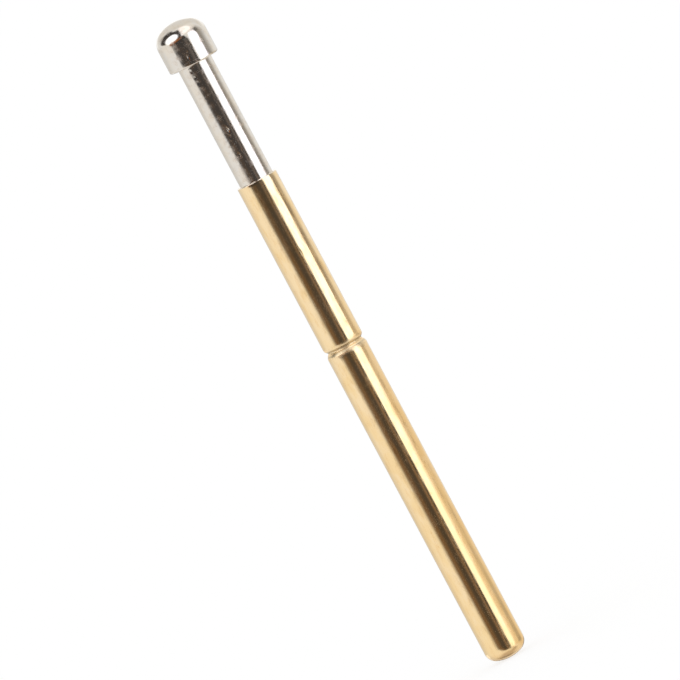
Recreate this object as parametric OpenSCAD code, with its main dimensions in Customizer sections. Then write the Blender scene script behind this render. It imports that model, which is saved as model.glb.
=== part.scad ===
/* [Barrel] */
// Outside diameter of the tube
barrel_d = 2.02; // [1.7:0.01:2.5]
// Length of the tube, from its closed end to its open mouth
barrel_len = 25.35; // [23:0.05:35]
// Thickness of the tube's wall
wall = 0.14; // [0.1:0.01:0.2]
// Radius of the wide crown arc on the closed end
end_crown_r = 1.78; // [1.4:0.01:4]
// Radius of the corner arc that joins the crown to the tube's side
end_corner_r = 0.59; // [0.4:0.01:0.8]
// Rounding of the mouth's outer edge
mouth_edge_r = 0.03; // [0.01:0.005:0.06]

/* [Crimp] */
// Distance from the mouth down to the root of the rolled groove
crimp_drop = 8.8; // [8:0.05:12]
// Depth of the groove in the outside of the tube
crimp_depth = 0.135; // [0.1:0.005:0.18]
// Radius of the sharp root of the groove
crimp_root_r = 0.07; // [0.04:0.005:0.1]
// Radius of the shoulder above the groove
crimp_top_r = 0.24; // [0.22:0.01:0.6]
// Radius of the softer shoulder below the groove
crimp_low_r = 0.375; // [0.22:0.005:0.6]

/* [Plunger] */
// How far the plunger can be pressed in
stroke = 6; // [2:0.1:7.5]
// Shaft that still stands out of the mouth at the end of the stroke
stroke_spare = 0.17; // [0.05:0.01:2]
// Diameter of the head
head_d = 2.5; // [2.3:0.01:3.4]
// Height of the head, from its flat underside to the top of its dome
head_h = 2.13; // [1.2:0.01:4]
// Radius of the wide crown arc on top of the head
head_crown_r = 1.87; // [1.6:0.01:6]
// Radius of the corner arc that joins the crown to the head's side
head_corner_r = 0.8; // [0.2:0.01:0.9]
// Rounding of the head's lower edge
head_edge_r = 0.08; // [0.02:0.01:0.16]
// Length of the collar on the plunger's tail, which the crimp holds in
collar_len = 1.8; // [0.8:0.1:3]
// Length of the cone on the tail that centres the spring
nose_len = 0.4; // [0.2:0.05:0.8]

/* [Spring] */
// Diameter of the spring's wire
wire_d = 0.21; // [0.15:0.01:0.24]
// Least space between open turns when the plunger is fully in
pressed_gap = 0.02; // [0.01:0.01:0.3]

/* [Clearances] */
// Radial play of the shaft and the collar in the tube
slide_gap = 0.02; // [0.01:0.005:0.05]
// Radial space between the neck and the crimp's inner ridge
neck_gap = 0.08; // [0.04:0.01:0.2]
// Space that is left between the crimp and the neck's top at the end of the stroke
neck_slack = 0.2; // [0.1:0.05:0.5]
// Radial space between the spring and the tube
spring_gap = 0.06; // [0.04:0.01:0.12]
// Space left where two pieces bear on each other, and between closed turns
seat_gap = 0.015; // [0.01:0.005:0.03]

/* [Hidden] */

$fn = 64;
arc_steps = 10;
small_edge = 0.06;

// Straight sizes that follow from the ones above
barrel_r = barrel_d/2;
bore_r = barrel_r - wall;
shaft_r = bore_r - slide_gap;
head_r = head_d/2;
head_base_z = barrel_len + stroke_spare + stroke;
head_top_z = head_base_z + head_h;

// The crimp: how far its two flanks turn, and the heights of its three arcs
crimp_z = barrel_len - crimp_drop;
top_turn = acos(1 - crimp_depth/(crimp_top_r + crimp_root_r));
low_turn = acos(1 - crimp_depth/(crimp_low_r + crimp_root_r));
crimp_top_z = crimp_z + (crimp_top_r + crimp_root_r)*sin(top_turn);
crimp_low_z = crimp_z - (crimp_low_r + crimp_root_r)*sin(low_turn);
ridge_r = bore_r - crimp_depth;

// The plunger inside the barrel
neck_r = ridge_r - neck_gap;
collar_top_z = ridge_underside(shaft_r, seat_gap);
collar_base_z = collar_top_z - collar_len;
neck_top_z = crimp_top_z + stroke + neck_slack;

// The spring, between the rounded floor of the barrel and the collar
coil_r = bore_r - spring_gap - wire_d/2;
nose_r = coil_r - wire_d/2 - seat_gap;
closed_pitch = wire_d + seat_gap;
coil_low_z = floor_height(coil_r, wire_d/2 + seat_gap);
coil_high_z = collar_base_z - seat_gap - wire_d/2;
open_span = coil_high_z - coil_low_z - 2*closed_pitch;
open_turns = floor((open_span - stroke)/(wire_d + pressed_gap));
open_pitch = open_span/open_turns;
total_turns = open_turns + 2;
rings_per_turn = 14;
wire_sides = 8;

function unit(angle) = [cos(angle), sin(angle)];

// Points along a chain of arcs on a turned or drawn form, where x is the radius and y the height.
// Each arc is [centre, radius, first, last]: first and last are the angles of the outward normal, and
// a hollow arc has a negative radius. inset moves the whole chain in, to the far side of a wall.
function chain(arcs, inset = 0) = [
    for (arc = arcs, step = [0:arc_steps])
        arc[0] + (arc[1] - inset)*unit(arc[2] + (arc[3] - arc[2])*step/arc_steps)
];

// The same points without those that repeat the one before, as where two arcs meet
function without_repeats(points) = [
    for (i = [0:len(points) - 1])
        if (i == 0 || norm(points[i] - points[max(i - 1, 0)]) > 0.0001) points[i]
];

function reversed(list) = [for (i = [len(list) - 1:-1:0]) list[i]];

// Two arcs of a domed end on a rod of radius r, from the tip out to the side. The tip points down.
function dome(r, crown_r, corner_r) =
    let (
        reach = crown_r - corner_r,
        lean = asin((r - corner_r)/reach)
    )
    [
        [[0, crown_r], crown_r, -90, lean - 90],
        [[r - corner_r, crown_r - reach*cos(lean)], corner_r, lean - 90, 0],
    ];

// The same arcs upside down, with the tip at height top
function upside_down(arcs, top) = [
    for (arc = reversed(arcs)) [[arc[0].x, top - arc[0].y], arc[1], -arc[3], -arc[2]]
];

// The arcs of the crimp, from its lower shoulder up through the root to its upper shoulder. The root is
// drawn in two halves, so that a point stands at its very bottom.
crimp_root = [barrel_r - crimp_depth + crimp_root_r, crimp_z];
crimp = [
    [[barrel_r - crimp_low_r, crimp_low_z], crimp_low_r, 0, low_turn],
    [crimp_root, -crimp_root_r, low_turn, 0],
    [crimp_root, -crimp_root_r, 0, -top_turn],
    [[barrel_r - crimp_top_r, crimp_top_z], crimp_top_r, -top_turn, 0],
];

// Highest point, at radius r, that keeps a gap from the underside of the crimp's inner ridge
function ridge_underside(r, gap) =
    let (
        inset = wall + gap,
        flank_r = barrel_r - crimp_low_r + (crimp_low_r - inset)*cos(low_turn)
    )
    r > flank_r
        ? crimp_low_z + sqrt(max(pow(crimp_low_r - inset, 2) - pow(r - barrel_r + crimp_low_r, 2), 0))
        : crimp_z - sqrt(pow(crimp_root_r + inset, 2) - pow(crimp_root.x - r, 2));

// Height at which a ball of radius ball_r rests on the rounded floor, at radius r from the axis
function floor_height(r, ball_r) =
    let (
        corner = dome(barrel_r, end_crown_r, end_corner_r)[1],
        on_corner = r > corner[0].x*(end_crown_r - wall - ball_r)/(end_crown_r - end_corner_r),
        centre = on_corner ? corner[0] : [0, end_crown_r],
        path_r = (on_corner ? end_corner_r : end_crown_r) - wall - ball_r
    )
    centre.y - sqrt(pow(path_r, 2) - pow(r - centre.x, 2));

// A tube of even wall, drawn with a closed end and rolled in at the crimp
module barrel() {
    wall_arcs = concat(dome(barrel_r, end_crown_r, end_corner_r), crimp);
    mouth_edge = [[barrel_r - mouth_edge_r, barrel_len - mouth_edge_r], mouth_edge_r, 0, 90];
    color("goldenrod")
        rotate_extrude()
            polygon(without_repeats(concat(
                chain(wall_arcs),
                chain([mouth_edge]),
                [[bore_r, barrel_len]],
                reversed(chain(wall_arcs, wall))
            )));
}

// One turned piece: nose and collar, neck, shaft, and the head with its domed top
module plunger() {
    tail = [
        [0, collar_base_z - nose_len],
        [nose_r, collar_base_z],
        [shaft_r - small_edge, collar_base_z],
        [shaft_r, collar_base_z + small_edge],
        [shaft_r, collar_top_z],
        [neck_r, collar_top_z],
        [neck_r, neck_top_z],
        [shaft_r, neck_top_z + shaft_r - neck_r],
        [shaft_r, head_base_z],
    ];
    head_edge = [[head_r - head_edge_r, head_base_z + head_edge_r], head_edge_r, -90, 0];
    color("silver")
        rotate_extrude()
            polygon(without_repeats(concat(
                tail,
                chain([head_edge]),
                chain(upside_down(dome(head_r, head_crown_r, head_corner_r), head_top_z))
            )));
}

// Height of the wire's centre after a number of turns: one closed turn at each end, open between
function coil_z(turns) =
    coil_low_z
    + closed_pitch*(min(turns, 1) + max(turns - 1 - open_turns, 0))
    + open_pitch*min(max(turns - 1, 0), open_turns);

// A compression spring, swept as rings of points round the wire along the helix
module spring() {
    last_ring = total_turns*rings_per_turn;
    points = [
        for (ring = [0:last_ring], side = [0:wire_sides - 1])
            let (
                turn = 360*ring/rings_per_turn,
                around = 360*side/wire_sides,
                r = coil_r + wire_d/2*cos(around)
            )
            [r*cos(turn), r*sin(turn), coil_z(ring/rings_per_turn) + wire_d/2*sin(around)]
    ];
    skin = [
        for (ring = [0:last_ring - 1], side = [0:wire_sides - 1])
            let (
                a = ring*wire_sides + side,
                b = ring*wire_sides + (side + 1)%wire_sides
            )
            [a, b, b + wire_sides, a + wire_sides]
    ];
    first_end = [for (side = [wire_sides - 1:-1:0]) side];
    last_end = [for (side = [0:wire_sides - 1]) last_ring*wire_sides + side];
    color("lightgray")
        polyhedron(points, concat(skin, [first_end, last_end]), convexity = 10);
}

barrel();
plunger();
spring();
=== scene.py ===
import math

import bpy
from mathutils import Matrix, Vector, noise


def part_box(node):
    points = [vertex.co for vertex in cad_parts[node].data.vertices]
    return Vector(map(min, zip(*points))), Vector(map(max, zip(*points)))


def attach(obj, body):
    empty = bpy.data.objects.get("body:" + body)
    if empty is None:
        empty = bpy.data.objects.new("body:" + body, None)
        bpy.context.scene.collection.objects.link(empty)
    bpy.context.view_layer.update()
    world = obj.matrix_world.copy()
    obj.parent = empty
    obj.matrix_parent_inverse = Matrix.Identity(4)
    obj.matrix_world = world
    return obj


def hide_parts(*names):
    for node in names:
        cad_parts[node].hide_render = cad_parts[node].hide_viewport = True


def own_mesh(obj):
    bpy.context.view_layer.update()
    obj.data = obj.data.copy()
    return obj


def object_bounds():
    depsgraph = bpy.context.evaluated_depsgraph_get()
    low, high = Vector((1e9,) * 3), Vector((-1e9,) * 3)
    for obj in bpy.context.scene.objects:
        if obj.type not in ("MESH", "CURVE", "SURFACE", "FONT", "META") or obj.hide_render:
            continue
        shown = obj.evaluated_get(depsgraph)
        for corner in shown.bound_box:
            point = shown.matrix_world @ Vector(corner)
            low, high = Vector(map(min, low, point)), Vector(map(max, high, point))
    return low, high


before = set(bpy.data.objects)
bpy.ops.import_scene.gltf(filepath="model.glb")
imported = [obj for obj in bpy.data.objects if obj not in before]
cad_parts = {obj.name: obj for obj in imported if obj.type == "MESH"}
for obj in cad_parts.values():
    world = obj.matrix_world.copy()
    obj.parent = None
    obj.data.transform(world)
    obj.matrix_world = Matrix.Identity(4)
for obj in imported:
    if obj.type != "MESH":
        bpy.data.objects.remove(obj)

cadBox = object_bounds()
mm = 0.001
tiny = 1e-6   # anything shorter counts as nothing, in millimetres
print("frame loaded:", ", ".join(sorted(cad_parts)))


# turning and sweeping, all in millimetres until the mesh is made

def arcRow(centre, radius, first, last, steps):
    # points on an arc, angles are those of the outward normal, a hollow arc has a negative radius
    row = []
    for i in range(steps + 1):
        a = math.radians(first + (last - first) * i / steps)
        row.append((centre[0] + radius * math.cos(a), centre[1] + radius * math.sin(a)))
    return row


def domeRow(r, crown, corner, steps, inset=0):
    # tip to side of a domed end, tip down at height 0, the inset leads to the far side of a wall
    reach = crown - corner
    lean = math.degrees(math.asin((r - corner) / reach))
    cornerCentre = (r - corner, crown - reach * math.cos(math.radians(lean)))
    return (arcRow((0, crown), crown - inset, -90, lean - 90, steps)
            + arcRow(cornerCentre, corner - inset, lean - 90, 0, steps))


def finerRow(row, step):
    # adds points on the straight stretches, so that waves and nicks have something to bend
    out = [row[0]]
    for a, b in zip(row, row[1:]):
        gap = math.dist(a, b)
        if gap < tiny:
            continue
        parts = max(1, math.ceil(gap / step))
        for i in range(1, parts + 1):
            t = i / parts
            out.append((a[0] + (b[0] - a[0]) * t, a[1] + (b[1] - a[1]) * t))
    return out


def angleGap(a, b):
    return (a - b + math.pi) % (2 * math.pi) - math.pi


def nickPush(nicks, r, z, a):
    # each nick is its angle from the front (+ is to the right), height, half length, half width, depth
    push = 0
    for angle, height, tall, wide, depth in nicks:
        up = (z - height) / tall
        side = angleGap(a, math.radians(angle - 90)) * r / wide
        d = up * up + side * side
        if d < 9:   # further out there is nothing left of it
            push -= depth * math.exp(-d)
    return push


def wornPush(s, r, z, a):
    # slow waves and nicks, fading out towards the axis
    if r < s["calm"]:
        return 0
    across = (math.cos(a) * s["waveRound"] + s["waveStart"], math.sin(a) * s["waveRound"])
    fading = min(1, (r - s["calm"]) / s["calmFade"])
    wave = noise.noise(Vector((*across, z / s["waveLength"]))) - 1
    return wave * s["wave"] * fading + nickPush(s["nicks"], r, z, a)


def addMesh(name, points, faces, material):
    mesh = bpy.data.meshes.new(name)
    mesh.from_pydata(points, [], faces)
    mesh.materials.append(material)
    thing = bpy.data.objects.new(name, mesh)
    bpy.context.scene.collection.objects.link(thing)
    return thing


def addPiece(name, points, faces, material, sharp):
    piece = addMesh(name, [(x * mm, y * mm, z * mm) for x, y, z in points], faces, material)
    piece.data.shade_smooth()
    piece.data.set_sharp_from_angle(angle=math.radians(sharp))
    piece.data.update()
    return piece


def turnPiece(name, row, worn, material, s):
    # spins a row of (radius, height) round Z, from axis to axis, worn() tells which rows show wear
    points, faces, rings = [], [], []
    around = s["around"]
    for i, (r, z) in enumerate(row):
        if r < tiny:
            rings.append([len(points)] * around)
            points.append((0, 0, z))
            continue
        rings.append(range(len(points), len(points) + around))
        for k in range(around):
            a = 2 * math.pi * k / around
            pushed = r + (wornPush(s, r, z, a) if worn(i, z) else 0)
            points.append((pushed * math.cos(a), pushed * math.sin(a), z))
    for low, high in zip(rings, rings[1:]):
        for k in range(around):
            j = (k + 1) % around
            quad = [low[k], low[j], high[j], high[k]]
            faces.append([v for n, v in enumerate(quad) if v not in quad[:n]])   # triangles at the axis
    return addPiece(name, points, faces, material, s["sharp"])


# node helpers

def newMaterial(name):
    material = bpy.data.materials.new(name)
    material.use_nodes = True
    material.node_tree.nodes.clear()
    return material, material.node_tree


def setSocket(tree, socket, value):
    # a value from another node is linked, a plain one goes on the socket
    if isinstance(value, bpy.types.NodeSocket):
        tree.links.new(value, socket)
    else:
        socket.default_value = value


def addNode(tree, kind, **sockets):
    node = tree.nodes.new(kind)
    for key, value in sockets.items():
        socket = next(s for s in node.inputs if s.name.replace(" ", "").lower() == key.lower())
        setSocket(tree, socket, value)
    return node


def mathNode(tree, operation, *values):
    node = tree.nodes.new("ShaderNodeMath")
    node.operation = operation
    for socket, value in zip(node.inputs, values):
        setSocket(tree, socket, value)
    return node.outputs[0]


def times(tree, a, b):
    return mathNode(tree, "MULTIPLY", a, b)


def mapRange(tree, value, fromLow, fromHigh, toLow, toHigh, kind="LINEAR"):
    node = tree.nodes.new("ShaderNodeMapRange")
    node.interpolation_type = kind
    tree.links.new(value, node.inputs["Value"])
    limits = {"From Min": fromLow, "From Max": fromHigh, "To Min": toLow, "To Max": toHigh}
    for key, number in limits.items():
        node.inputs[key].default_value = number
    return node.outputs["Result"]


def fade(tree, value, low, high, start=0, end=1):
    # goes softly from start to end while the value goes from low to high
    return mapRange(tree, value, low, high, start, end, "SMOOTHSTEP")


def mixColour(tree, factor, a, b):
    node = tree.nodes.new("ShaderNodeMix")
    node.data_type = "RGBA"
    tree.links.new(factor, node.inputs["Factor"])
    for key, value in (("A", a), ("B", b)):
        socket = next(s for s in node.inputs if s.name == key and s.type == "RGBA")
        setSocket(tree, socket, (*value, 1) if isinstance(value, tuple) else value)
    return next(s for s in node.outputs if s.type == "RGBA")


def mixShader(tree, factor, first, second):
    node = tree.nodes.new("ShaderNodeMixShader")
    for socket, value in zip(node.inputs, (factor, first, second)):
        setSocket(tree, socket, value)
    return node.outputs[0]


def stretched(tree, scale):
    # object coordinates in millimetres, squeezed per axis
    where = tree.nodes.new("ShaderNodeTexCoord")
    perMetre = [s / mm for s in scale]
    return addNode(tree, "ShaderNodeMapping", Vector=where.outputs["Object"], Scale=perMetre).outputs[0]


def noiseOf(tree, scale, detail, roughness):
    node = addNode(tree, "ShaderNodeTexNoise", Vector=stretched(tree, scale),
                   Scale=1, Detail=detail, Roughness=roughness)
    return node.outputs["Fac"]


def specks(tree, scale, share, size):
    # a few round cells out of many, 1 in their middle
    cells = addNode(tree, "ShaderNodeTexVoronoi", Vector=stretched(tree, scale), Scale=1, Randomness=1)
    spot = fade(tree, cells.outputs["Distance"], 0, size, 1, 0)
    pick = addNode(tree, "ShaderNodeSeparateColor", Color=cells.outputs["Color"])
    return times(tree, spot, mathNode(tree, "LESS_THAN", pick.outputs["Red"], share))


def heightOf(tree):
    # height along the pin in millimetres
    where = tree.nodes.new("ShaderNodeTexCoord")
    axes = addNode(tree, "ShaderNodeSeparateXYZ", Vector=where.outputs["Object"])
    return times(tree, axes.outputs["Z"], 1 / mm)


def band(tree, height, low, high, soft):
    # 1 between two heights, fading over soft millimetres on either side
    return times(tree, fade(tree, height, low - soft, low + soft),
                 fade(tree, height, high - soft, high + soft, 1, 0))


def lifted(pair, start):
    # two heights that are given from a start
    return [start + offset for offset in pair]


def bumpOn(tree, height, depth, normal=None):
    # depth is in millimetres
    node = addNode(tree, "ShaderNodeBump", Strength=1, Distance=depth * mm, Height=height)
    if normal is not None:
        tree.links.new(normal, node.inputs["Normal"])
    return node.outputs["Normal"]


def closeMaterial(tree, shader):
    out = tree.nodes.new("ShaderNodeOutputMaterial")
    tree.links.new(shader, out.inputs["Surface"])


def closeMetal(tree, tint, rough, normal):
    metal = addNode(tree, "ShaderNodeBsdfPrincipled",
                    BaseColor=tint, Metallic=1, Roughness=rough, Normal=normal)
    closeMaterial(tree, metal.outputs[0])


# barrel: one drawn tube, domed at the bottom, with a groove rolled into it

barrelTube = {
    "wall": 0.14, "endCrown": 1.78, "endCorner": 0.59, "mouthEdge": 0.045, "boreEdge": 0.02,
    "grooveDrop": 8.8, "grooveDepth": 0.135,   # from the mouth down to the root, and its depth
    "grooveRoot": 0.07, "grooveAbove": 0.24, "grooveBelow": 0.375,   # radii of its three arcs
    "around": 272, "step": 0.13, "boreStep": 0.6, "sharp": 35,
    "endSteps": 14, "floorSteps": 10, "shoulderSteps": 12, "rootSteps": 14,
    "mouthSteps": 5, "boreEdgeSteps": 4,
    "wave": 0.0008, "waveLength": 2.2, "waveRound": 0.6, "waveStart": 0,
    "calm": 0.3, "calmFade": 0.4,              # no wear this near the axis
    "nicks": [(-24, 16.25, 0.05, 0.12, 0.006), (14, 21.4, 0.1, 0.05, 0.006),
              (-12, 11.2, 0.16, 0.05, 0.006), (38, 6.4, 0.2, 0.05, 0.005),
              (120, 14, 0.2, 0.06, 0.006), (-150, 19, 0.15, 0.08, 0.006)],
}

# worn gold plate, each noise is (marks per mm along each axis, octaves, roughness)
goldPlate = {
    "pale": (0.98, 0.775, 0.48), "deep": (0.965, 0.73, 0.40), "brown": (0.80, 0.48, 0.19),
    "gloss": 0.10, "dull": 0.14,
    "patch": ((1.6, 1.6, 0.9), 4, 0.65), "patchRange": (0.38, 0.62),
    "paler": 0.10,                             # how much paler the tint gets towards the mouth
    "skin": ((3.0, 3.0, 0.9), 2, 0.5), "skinDepth": 0.0006,
    "lines": ((26, 26, 0.5), 3, 0.6), "lineRange": (0.3, 0.7), "lineDepth": 0.0004,
    "flecks": ((5.5, 5.5, 1.3), 3, 0.6), "fleckRange": (0.46, 0.68),
    "fleckTint": 0.20, "fleckDull": 0.11,
    "dots": ((5.5, 5.5, 3.0), 0.16, 0.36),     # cells per mm, share of them, size of the spot
    "dotTint": 0.30, "dotDull": 0.08,
    "grain": ((9, 9, 0.8), 1, 0.5), "grainRange": (0.68, 0.72), "grainDull": 0.06,
    "grainPit": -1, "dotPit": -0.7, "pitDepth": 0.0004,
    "polish": ((5, 5, 24), 3, 0.6), "polishFade": (0.3, 0.62),   # rings left on the closed end
    "polishTint": 0.6, "polishDull": 0.2, "polishDepth": 0.0009,
    "rolled": (-0.32, 0.24), "rolledSoft": 0.09, "rolledDull": 0.22,   # heights from the groove's root
    # painted shade: two darker lines along the groove's flanks, heights from the groove's root, blotchy
    # with the patch noise
    "soil": (0.36, 0.33, 0.25), "soilHigh": (0.01, 0.11), "soilLow": (-0.19, -0.13),
    "soilLowShare": 0.8, "soilSoft": 0.03, "soilRange": (0.3, 0.6), "soilTint": (0.45, 0.75),
    # painted highlight: a pale line along the mouth's edge
    "rim": (0.93, 0.88, 0.80), "rimFade": (-0.06, -0.02), "rimTint": (0, 0.8),   # from the mouth
}


def makeGold():
    material, tree = newMaterial("goldPlate")
    s = goldPlate
    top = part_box("barrel")[1].z / mm
    groove = top - barrelTube["grooveDrop"]
    height = heightOf(tree)
    patch = noiseOf(tree, *s["patch"])
    patch = mathNode(tree, "SUBTRACT", patch,
                     mapRange(tree, height, 0, top, -s["paler"], s["paler"]))
    lines = noiseOf(tree, *s["lines"])
    flecks = fade(tree, noiseOf(tree, *s["flecks"]), *s["fleckRange"])
    dots = specks(tree, *s["dots"])
    grain = fade(tree, noiseOf(tree, *s["grain"]), *s["grainRange"])
    polish = times(tree, noiseOf(tree, *s["polish"]), fade(tree, height, *s["polishFade"], 1, 0))
    rolled = band(tree, height, *lifted(s["rolled"], groove), s["rolledSoft"])
    # painted shade in the groove: a dark line just above its root and a fainter one below it
    soilHigh = band(tree, height, *lifted(s["soilHigh"], groove), s["soilSoft"])
    soilLow = band(tree, height, *lifted(s["soilLow"], groove), s["soilSoft"])
    soil = mathNode(tree, "ADD", soilHigh, times(tree, soilLow, s["soilLowShare"]))
    soil = times(tree, soil, mapRange(tree, patch, *s["soilRange"], *s["soilTint"]))
    # painted highlight along the mouth's edge, over its last few hundredths of a millimetre
    rim = fade(tree, height, *lifted(s["rimFade"], top), *s["rimTint"])

    tint = mixColour(tree, fade(tree, patch, *s["patchRange"]), s["pale"], s["deep"])
    for mark, share in ((flecks, "fleckTint"), (dots, "dotTint"), (polish, "polishTint")):
        tint = mixColour(tree, times(tree, mark, s[share]), tint, s["brown"])
    # the groove's painted shade darkens the tint
    tint = mixColour(tree, soil, tint, s["soil"])
    # the mouth edge's painted highlight paints the tint paler
    tint = mixColour(tree, rim, tint, s["rim"])

    rough = mapRange(tree, lines, *s["lineRange"], s["gloss"], s["dull"])
    for mark, share in ((flecks, "fleckDull"), (dots, "dotDull"), (grain, "grainDull"),
                        (rolled, "rolledDull"), (polish, "polishDull")):
        rough = mathNode(tree, "ADD", rough, times(tree, mark, s[share]))

    pits = mathNode(tree, "ADD", times(tree, grain, s["grainPit"]), times(tree, dots, s["dotPit"]))
    normal = bumpOn(tree, noiseOf(tree, *s["skin"]), s["skinDepth"])
    normal = bumpOn(tree, lines, s["lineDepth"], normal)
    normal = bumpOn(tree, polish, s["polishDepth"], normal)
    normal = bumpOn(tree, pits, s["pitDepth"], normal)
    closeMetal(tree, tint, rough, normal)
    return material


def makeBarrel(material):
    s = barrelTube
    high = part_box("barrel")[1]
    r, top = high.x / mm, high.z / mm
    bore = r - s["wall"]
    groove = top - s["grooveDrop"]
    aboveReach = s["grooveAbove"] + s["grooveRoot"]
    belowReach = s["grooveBelow"] + s["grooveRoot"]
    above = math.degrees(math.acos(1 - s["grooveDepth"] / aboveReach))   # turn of each flank
    below = math.degrees(math.acos(1 - s["grooveDepth"] / belowReach))
    aboveZ = groove + aboveReach * math.sin(math.radians(above))
    belowZ = groove - belowReach * math.sin(math.radians(below))
    root = (r - s["grooveDepth"] + s["grooveRoot"], groove)

    def wallRow(inset, endSteps):
        # closed end, lower shoulder, root and upper shoulder, all moved in by the inset
        return (domeRow(r, s["endCrown"], s["endCorner"], endSteps, inset)
                + arcRow((r - s["grooveBelow"], belowZ), s["grooveBelow"] - inset,
                         0, below, s["shoulderSteps"])
                + arcRow(root, -s["grooveRoot"] - inset, below, -above, s["rootSteps"])
                + arcRow((r - s["grooveAbove"], aboveZ), s["grooveAbove"] - inset,
                         -above, 0, s["shoulderSteps"]))

    edge, inner = s["mouthEdge"], s["boreEdge"]
    mouth = arcRow((r - edge, top - edge), edge, 0, 90, s["mouthSteps"])
    boreMouth = arcRow((bore + inner, top - inner), inner, 90, 180, s["boreEdgeSteps"])
    outside = finerRow(wallRow(0, s["endSteps"]) + mouth, s["step"])
    inside = finerRow(boreMouth + wallRow(s["wall"], s["floorSteps"])[::-1], s["boreStep"])

    def worn(i, z):
        return i < len(outside)

    piece = turnPiece("barrelTube", outside + inside, worn, material, s)
    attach(piece, "barrel")
    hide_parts("barrel")
    return piece


# plunger: one turned pin, nose and collar inside, neck, shaft and domed head

plungerPin = {
    "shaft": 0.85, "neck": 0.655, "nose": 0.585, "smallEdge": 0.06,   # radii, and the collar's bevel
    "noseLength": 0.4, "collarLength": 1.8, "neckLength": 6.7285,
    "headHeight": 2.13, "headCrown": 1.87, "headCorner": 0.8, "headEdge": 0.08,
    "fillet": 0.03, "filletTurns": (0, 0.4, 0.8, 1.2, math.pi / 2),   # where the shaft meets the head
    "around": 320, "step": 0.05, "hiddenStep": 0.5, "sharp": 35,
    "fineBelow": 0.5, "wornBelow": 0.6,        # how far into the mouth the fine rows and the wear go
    "headSteps": 26, "headEdgeSteps": 8,
    "wave": 0.0012, "waveLength": 1.4, "waveRound": 0.6, "waveStart": 7,
    "calm": 0.3, "calmFade": 0.4,
    "nicks": [(-6, 31.97, 0.15, 0.045, 0.030), (-3, 32.14, 0.12, 0.035, 0.018),
              (10, 32.4, 0.09, 0.04, 0.005), (-24, 31.27, 0.06, 0.05, 0.007),
              (-22, 30.92, 0.06, 0.05, 0.006), (-20, 30.66, 0.06, 0.05, 0.006),
              (-5, 28.04, 0.09, 0.045, 0.032), (-8, 28.16, 0.08, 0.035, 0.018),
              (-10, 27.74, 0.06, 0.04, 0.016), (4, 26.9, 0.08, 0.04, 0.006),
              (-11, 26.75, 0.09, 0.04, 0.016), (3, 29.6, 0.08, 0.04, 0.005),
              (100, 28.2, 0.06, 0.1, 0.008), (-140, 30.1, 0.06, 0.08, 0.008),
              (170, 32.2, 0.07, 0.08, 0.008)],
}

nickelPlate = {
    "pale": (0.80, 0.745, 0.66), "cool": (0.78, 0.75, 0.70), "brown": (0.62, 0.47, 0.34),
    "gloss": 0.09, "dull": 0.12,
    "patch": ((1.8, 1.8, 1.2), 4, 0.65), "patchRange": (0.38, 0.62),
    "skin": ((3.0, 3.0, 2.2), 2, 0.5), "skinDepth": 0.0009,
    "rings": ((0.5, 0.5, 15), 2, 0.5), "ringRange": (0.3, 0.7), "ringDepth": 0.0004,
    "flecks": ((3.4, 3.4, 4.2), 2, 0.5), "fleckRange": (0.44, 0.70),
    "fleckTint": 0.18, "fleckDull": 0.16,
    "dots": ((7, 7, 8), 0.10, 0.36), "dotTint": 0.25, "dotDull": 0.08,
    "dotPit": -1, "pitDepth": 0.0004,
}


def makeNickel():
    material, tree = newMaterial("nickelPlate")
    s = nickelPlate
    patch = noiseOf(tree, *s["patch"])
    rings = noiseOf(tree, *s["rings"])
    flecks = fade(tree, noiseOf(tree, *s["flecks"]), *s["fleckRange"])
    dots = specks(tree, *s["dots"])

    tint = mixColour(tree, fade(tree, patch, *s["patchRange"]), s["pale"], s["cool"])
    rough = mapRange(tree, rings, *s["ringRange"], s["gloss"], s["dull"])
    for mark, tintShare, dullShare in ((flecks, "fleckTint", "fleckDull"),
                                       (dots, "dotTint", "dotDull")):
        tint = mixColour(tree, times(tree, mark, s[tintShare]), tint, s["brown"])
        rough = mathNode(tree, "ADD", rough, times(tree, mark, s[dullShare]))

    normal = bumpOn(tree, noiseOf(tree, *s["skin"]), s["skinDepth"])
    normal = bumpOn(tree, rings, s["ringDepth"], normal)
    normal = bumpOn(tree, times(tree, dots, s["dotPit"]), s["pitDepth"], normal)
    closeMetal(tree, tint, rough, normal)
    return material


def makePlunger(material):
    s = plungerPin
    low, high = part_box("plunger")
    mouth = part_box("barrel")[1].z / mm
    headR, top = high.x / mm, high.z / mm
    under = top - s["headHeight"]
    tip = low.z / mm
    collarBase = tip + s["noseLength"]
    collarTop = collarBase + s["collarLength"]
    neckTop = collarTop + s["neckLength"]
    shaft, neck, bevel = s["shaft"], s["neck"], s["smallEdge"]
    tail = [(0, tip), (s["nose"], collarBase), (shaft - bevel, collarBase),
            (shaft, collarBase + bevel), (shaft, collarTop), (neck, collarTop), (neck, neckTop),
            (shaft, neckTop + shaft - neck), (shaft, mouth - s["fineBelow"])]
    f = s["fillet"]
    corner = [(shaft + f - f * math.cos(t), under - f + f * math.sin(t)) for t in s["filletTurns"]]
    edge = arcRow((headR - s["headEdge"], under + s["headEdge"]), s["headEdge"],
                  -90, 0, s["headEdgeSteps"])
    dome = domeRow(headR, s["headCrown"], s["headCorner"], s["headSteps"])
    dome = [(r, top - z) for r, z in dome][::-1]
    shown = finerRow([tail[-1]] + corner + edge + dome, s["step"])
    row = finerRow(tail, s["hiddenStep"]) + shown[1:]

    def worn(i, z):
        return z >= mouth - s["wornBelow"]

    piece = turnPiece("plungerPin", row, worn, material, s)
    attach(piece, "plunger")
    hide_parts("plunger")
    return piece


# spring: closed turns at both ends, between the barrel's floor and the collar

coilSpring = {
    "wire": 0.21, "seatGap": 0.015, "openTurns": 32,
    "ringsPerTurn": 36, "sides": 14, "sharp": 50,
    "inset": 0.0005,   # keeps the rounder wire inside the box of the plain one
}

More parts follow.
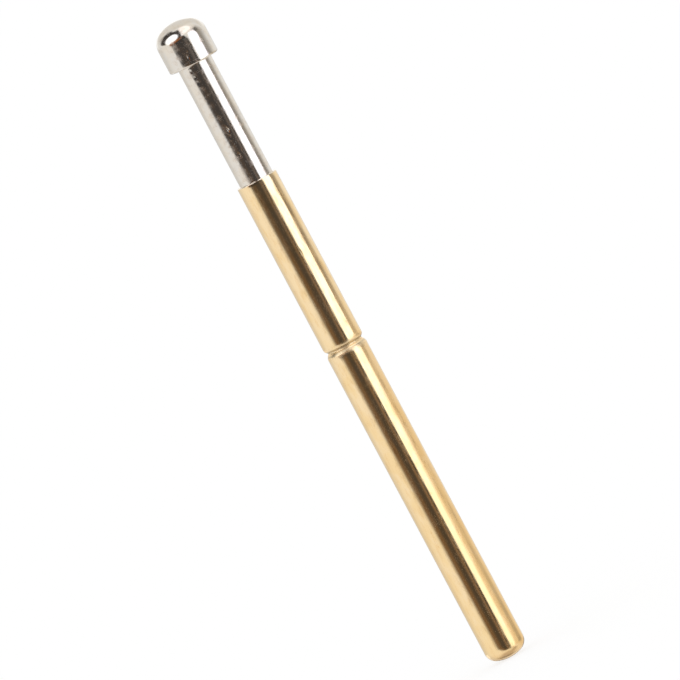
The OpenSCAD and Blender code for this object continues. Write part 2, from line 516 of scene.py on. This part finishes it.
springWire = {
    "bright": (0.62, 0.61, 0.59), "dark": (0.42, 0.41, 0.40), "gloss": 0.22, "dull": 0.38,
    "patch": ((6, 6, 6), 3, 0.6), "tintRange": (0.35, 0.7), "dullRange": (0.3, 0.7),
    "skin": ((30, 30, 30), 2, 0.5), "skinDepth": 0.0006,
}


def makeWire():
    material, tree = newMaterial("springWire")
    s = springWire
    patch = noiseOf(tree, *s["patch"])
    tint = mixColour(tree, fade(tree, patch, *s["tintRange"]), s["bright"], s["dark"])
    rough = mapRange(tree, patch, *s["dullRange"], s["gloss"], s["dull"])
    normal = bumpOn(tree, noiseOf(tree, *s["skin"]), s["skinDepth"])
    closeMetal(tree, tint, rough, normal)
    return material


def makeSpring(material):
    s = coilSpring
    low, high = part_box("spring")
    wireR = s["wire"] / 2
    thinR = wireR - s["inset"]
    coilR = high.x / mm - wireR
    first, last = low.z / mm + wireR, high.z / mm - wireR
    closed = s["wire"] + s["seatGap"]
    openPitch = (last - first - 2 * closed) / s["openTurns"]
    count = (s["openTurns"] + 2) * s["ringsPerTurn"]
    sides = s["sides"]
    points, faces = [], []
    for i in range(count + 1):
        t = i / s["ringsPerTurn"]
        closedSoFar = min(t, 1) + max(t - 1 - s["openTurns"], 0)
        openSoFar = min(max(t - 1, 0), s["openTurns"])
        z = first + closed * closedSoFar + openPitch * openSoFar
        a = 2 * math.pi * t
        for k in range(sides):
            b = 2 * math.pi * k / sides
            r = coilR + thinR * math.cos(b)
            points.append((r * math.cos(a), r * math.sin(a), z + thinR * math.sin(b)))
    for i in range(count):
        here, there = i * sides, (i + 1) * sides
        for k in range(sides):
            j = (k + 1) % sides
            faces.append([here + j, here + k, there + k, there + j])
    faces.append(list(range(sides)))
    faces.append([count * sides + k for k in reversed(range(sides))])
    piece = addPiece("coilSpring", points, faces, material, s["sharp"])
    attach(piece, "barrel")
    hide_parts("spring")
    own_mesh(piece)
    return piece


# studio: white floor and surround, with cards that only gloss sees

floorSheet = {"half": 3, "colour": (0.95, 0.95, 0.95), "keepWhite": 0.8}   # half its width, in metres

surround = {"seen": (1, 1, 1), "gloss": (0.92, 0.905, 0.88), "soft": (1, 1, 1), "softLevel": 1.06}

cardSphere = {"far": 300, "nearer": 1, "grid": 16}   # each card a little nearer than the one before

# corners are (angle from the front, elevation), left top first and clockwise
# soft is the faded share at the left, right, top and bottom edge
cards = [
    {"name": "backWall", "corners": [(110, 88), (250, 88), (250, 5), (110, 5)],
     "level": 0.80, "tint": (1.03, 1, 0.95), "soft": (0.2, 0.2, 0.1, 0.15)},
    {"name": "leftWall", "corners": [(-182, 24), (-100, 16), (-100, -60), (-182, -60)],
     "level": 0.74, "tint": (1.02, 1, 0.97), "soft": (0.1, 0.5, 0.2, 0.2)},
    {"name": "leftGlow", "corners": [(-112, 10), (-30, 10), (-30, -60), (-112, -60)],
     "level": 0.93, "tint": (1.02, 1, 0.98), "soft": (0.4, 0.1, 0.2, 0.2)},
    {"name": "topRim", "corners": [(118, 26), (242, 26), (242, -1), (118, -1)],
     "level": 1.2, "tint": (1, 1, 1), "soft": (0.45, 0.45, 0.6, 0.4)},
    {"name": "underShade", "corners": [(-180, -56), (180, -56), (180, -90), (-180, -90)],
     "level": 0.56, "tint": (1.06, 0.95, 0.88), "soft": (0, 0, 0.55, 0)},
    {"name": "lowBack", "corners": [(138, -44), (252, -44), (252, -78), (138, -78)],
     "level": 0.30, "tint": (1.08, 0.96, 0.86), "soft": (0.35, 0.35, 0.35, 0.3)},
    {"name": "lowRight", "corners": [(46, -50), (104, -50), (104, -74), (46, -74)],
     "level": 0.42, "tint": (1.08, 0.96, 0.86), "soft": (0.3, 0.35, 0.1, 0.4)},
    {"name": "backEdge", "corners": [(158, 4), (202, 4), (202, -24), (158, -24)],
     "level": 0.5, "tint": (1, 1, 1), "soft": (0.3, 0.3, 0.2, 0.3)},
    {"name": "backDark", "corners": [(150, -11), (194, -11), (194, -27), (150, -27)],
     "level": 0.10, "tint": (1.1, 0.97, 0.88), "soft": (0.2, 0.12, 0.1, 0.15)},
    {"name": "backStrip", "corners": [(196, -11), (236, -11), (236, -27), (196, -27)],
     "level": 1.08, "tint": (1, 1, 1), "soft": (0.08, 0.12, 0.1, 0.15)},
    {"name": "rightWallLow", "corners": [(60, -4), (164, -4), (164, -50), (60, -40)],
     "level": 0.80, "tint": (1.05, 0.92, 0.74), "soft": (0.02, 0.28, 0.02, 0.3)},
    {"name": "rightShadeLow", "corners": [(82, -6.8), (130, -6.8), (130, -34), (82, -34)],
     "level": 0.42, "tint": (1.05, 0.95, 0.80), "soft": (0.35, 0.45, 0.06, 0.5)},
    {"name": "rightWallHigh", "corners": [(62, 37), (112, 37), (130, -4.2), (70, -4.2)],
     "level": 0.33, "tint": (1.08, 1, 0.90), "soft": (0.02, 0.75, 0.12, 0.02)},
    {"name": "rightArc", "corners": [(66, 36), (98, 33), (98, 8), (72, 8)],
     "level": 0.18, "tint": (1.05, 1, 0.95), "soft": (0.03, 0.5, 0.15, 0.3)},
    {"name": "rightDip", "corners": [(74, -2.2), (118, -2.2), (116, -4.4), (74, -4.4)],
     "level": 0.18, "tint": (1.1, 0.95, 0.85), "soft": (0.05, 0.6, 0, 0.06)},
    {"name": "topDark", "corners": [(-142, 78), (20, 88), (8, 16), (-124, 17)],
     "level": 0.06, "tint": (1.1, 0.95, 0.90), "soft": (0.14, 0.06, 0.12, 0.06)},
    {"name": "cameraLow", "corners": [(-63, -2.6), (31, -2.6), (36, -54), (-24, -46)],
     "level": 0.070, "tint": (1.12, 0.95, 0.85), "soft": (0.45, 0.03, 0, 0.12)},
    {"name": "cameraWarm", "corners": [(-52, -2.6), (-9, -2.6), (5, -46), (-22, -44)],
     "level": 0.15, "tint": (1.25, 0.80, 0.48), "soft": (0.5, 0.5, 0, 0.15)},
    {"name": "cameraHigh", "corners": [(-60, 0), (27, 0), (26.5, -2.6), (-47, -2.6)],
     "level": 0.058, "tint": (1.12, 0.95, 0.85), "soft": (0.07, 0.03, 0, 0)},
    {"name": "cameraTop", "corners": [(-62, 20), (16, 32), (27, 0), (-60, 0)],
     "level": 0.050, "tint": (1.0, 0.97, 0.97), "soft": (0.06, 0.03, 0.08, 0)},
    {"name": "cameraGlowHigh", "corners": [(0, 12), (20, 12), (21, -2.5), (0, -2.5)],
     "level": 0.125, "tint": (1.1, 0.96, 0.88), "soft": (0.5, 0.3, 0.4, 0)},
    {"name": "cameraGlow", "corners": [(3, -2.5), (24, -2.5), (26, -50), (5, -45)],
     "level": 0.20, "tint": (1.2, 0.84, 0.60), "soft": (0.55, 0.4, 0, 0.1)},
    {"name": "stripHigh", "corners": [(36, 30), (68, 30), (75.8, -2.2), (30, -2.2)],
     "level": 1.75, "tint": (1, 1, 1.15), "soft": (0.04, 0.05, 0.12, 0)},
    {"name": "stripMouth", "corners": [(30, -2.2), (80, -2.2), (80, -4.4), (30.5, -4.4)],
     "level": 1.75, "tint": (1, 1, 1.12), "soft": (0.04, 0.05, 0, 0)},
    {"name": "stripMid", "corners": [(30.5, -4.4), (80, -4.4), (74, -5.9), (31, -5.9)],
     "level": 1.6, "tint": (1, 1, 0.99), "soft": (0.04, 0.12, 0, 0)},
    {"name": "stripLow", "corners": [(31, -5.9), (76, -5.9), (74, -7.3), (31.5, -7.3)],
     "level": 1.45, "tint": (1, 1, 0.98), "soft": (0.04, 0.5, 0, 0)},
    {"name": "stripEnd", "corners": [(31.5, -7.3), (69, -7.3), (70, -45), (35, -47)],
     "level": 1.42, "tint": (1, 1, 0.98), "soft": (0.04, 0.5, 0, 0.16)},
    {"name": "rightTop", "corners": [(18, 89), (128, 89), (82, 38), (0, 29)],
     "level": 1.45, "tint": (1.02, 0.97, 0.99), "soft": (0.08, 0.25, 0.2, 0.16)},
    {"name": "leftBox", "corners": [(-98, 50), (-26, 75), (9, 35), (-80, -1)],
     "level": 1.7, "tint": (0.97, 0.99, 1.04), "round": 0.3},
    {"name": "amberEdge", "corners": [(-64, 19), (8, 41), (26, 20), (-72, -3)],
     "level": 0.33, "tint": (1.2, 0.42, 0.12), "soft": (0.15, 0.45, 0.5, 0.5)},
]


def onlyGloss(thing):
    thing.visible_camera = False
    thing.visible_diffuse = False
    thing.visible_transmission = False
    thing.visible_volume_scatter = False
    thing.visible_shadow = False


def cardMask(tree, card):
    # 1 inside the card, fading at its edges
    where = tree.nodes.new("ShaderNodeTexCoord")
    place = addNode(tree, "ShaderNodeSeparateXYZ", Vector=where.outputs["UV"])
    u, v = place.outputs["X"], place.outputs["Y"]
    if "round" in card:
        across = [mathNode(tree, "MULTIPLY_ADD", value, 2, -1) for value in (u, v)]
        squares = [times(tree, value, value) for value in across]
        reach = mathNode(tree, "SQRT", mathNode(tree, "ADD", *squares))
        return fade(tree, reach, 1 - card["round"], 1, 1, 0)
    left, right, high, low = card["soft"]
    fromRight, fromTop = [mathNode(tree, "SUBTRACT", 1, value) for value in (u, v)]
    mask = 1
    for value, size in ((u, left), (fromRight, right), (fromTop, high), (v, low)):
        if size > 0:
            mask = times(tree, mask, fade(tree, value, 0, size))
    return mask


def makeGlow(card):
    material, tree = newMaterial(card["name"])
    glow = addNode(tree, "ShaderNodeEmission", Color=(*card["tint"], 1), Strength=card["level"])
    clear = tree.nodes.new("ShaderNodeBsdfTransparent")
    mask = cardMask(tree, card)
    closeMaterial(tree, mixShader(tree, mask, clear.outputs[0], glow.outputs[0]))
    material.cycles.emission_sampling = "NONE"
    return material


def hangCard(card, middle, far):
    grid = cardSphere["grid"]
    points, faces, marks = [], [], []
    for j in range(grid + 1):
        for i in range(grid + 1):
            u, v = i / grid, j / grid
            az, el = [math.radians((c4 * (1 - u) + c3 * u) * (1 - v) + (c1 * (1 - u) + c2 * u) * v)
                      for c1, c2, c3, c4 in zip(*card["corners"])]
            out = Vector((math.sin(az) * math.cos(el), -math.cos(az) * math.cos(el), math.sin(el)))
            points.append(middle + out * far * mm)
            marks.append((u, v))
    w = grid + 1
    for j in range(grid):
        for i in range(grid):
            faces.append([j * w + i, j * w + i + 1, (j + 1) * w + i + 1, (j + 1) * w + i])
    thing = addMesh(card["name"], points, faces, makeGlow(card))
    layer = thing.data.uv_layers.new(name="cardUV")
    for loop in thing.data.loops:
        layer.data[loop.index].uv = marks[loop.vertex_index]
    onlyGloss(thing)


def makeFloor():
    s = floorSheet
    material, tree = newMaterial("floorSheet")
    paint = addNode(tree, "ShaderNodeBsdfDiffuse", Color=(*s["colour"], 1))
    white = addNode(tree, "ShaderNodeEmission", Color=(1, 1, 1, 1), Strength=1)
    ray = tree.nodes.new("ShaderNodeLightPath")
    share = times(tree, ray.outputs["Is Camera Ray"], s["keepWhite"])
    closeMaterial(tree, mixShader(tree, share, paint.outputs[0], white.outputs[0]))
    material.cycles.emission_sampling = "NONE"
    h = s["half"]
    corners = [(-h, -h, 0), (h, -h, 0), (h, h, 0), (-h, h, 0)]
    sheet = addMesh("floorSheet", corners, [(0, 1, 2, 3)], material)
    sheet.visible_glossy = False


def makeSurround():
    s = surround
    world = bpy.data.worlds.new("whiteRoom")
    bpy.context.scene.world = world
    world.use_nodes = True
    tree = world.node_tree
    tree.nodes.clear()
    ray = tree.nodes.new("ShaderNodeLightPath").outputs
    soft = addNode(tree, "ShaderNodeBackground", Color=(*s["soft"], 1), Strength=s["softLevel"])
    gloss = addNode(tree, "ShaderNodeBackground", Color=(*s["gloss"], 1), Strength=1)
    seen = addNode(tree, "ShaderNodeBackground", Color=(*s["seen"], 1), Strength=1)
    straight = mathNode(tree, "MAXIMUM", ray["Is Camera Ray"], ray["Is Transmission Ray"])
    light = mixShader(tree, ray["Is Glossy Ray"], soft.outputs[0], gloss.outputs[0])
    light = mixShader(tree, straight, light, seen.outputs[0])
    out = tree.nodes.new("ShaderNodeOutputWorld")
    tree.links.new(light, out.inputs["Surface"])


# camera: long lens, a little above the pin, turned so that the head leans to the upper left

view = {
    "far": 900, "up": 4.5, "roll": 28.009, "aim": (-0.0763, 0, 16.869),
    "frameWidth": 31.743, "sensor": 36, "clip": (0.01, 10),   # clip is in metres
}


def makeCamera():
    s = view
    data = bpy.data.cameras.new("longLens")
    camera = bpy.data.objects.new("longLens", data)
    bpy.context.scene.collection.objects.link(camera)
    bpy.context.scene.camera = camera
    data.sensor_width = s["sensor"]
    data.lens = s["sensor"] * s["far"] / s["frameWidth"]
    data.clip_start, data.clip_end = s["clip"]
    up, roll = math.radians(s["up"]), math.radians(s["roll"])
    back = Vector((0, -math.cos(up), math.sin(up)))
    side = Vector((1, 0, 0))
    rise = Vector((0, math.sin(up), math.cos(up)))
    right = side * math.cos(roll) - rise * math.sin(roll)
    top = side * math.sin(roll) + rise * math.cos(roll)
    place = Matrix((right, top, back)).transposed().to_4x4()
    place.translation = Vector(s["aim"]) * mm + back * s["far"] * mm
    camera.matrix_world = place


makeBarrel(makeGold())
print("barrel turned")
makePlunger(makeNickel())
print("plunger turned")
makeSpring(makeWire())
print("spring wound")

pinMiddle = (cadBox[0] + cadBox[1]) / 2
makeFloor()
makeSurround()
for i, card in enumerate(cards):
    hangCard(card, pinMiddle, cardSphere["far"] - i * cardSphere["nearer"])
print("studio set")
makeCamera()

bpy.context.scene.view_settings.view_transform = "Standard"
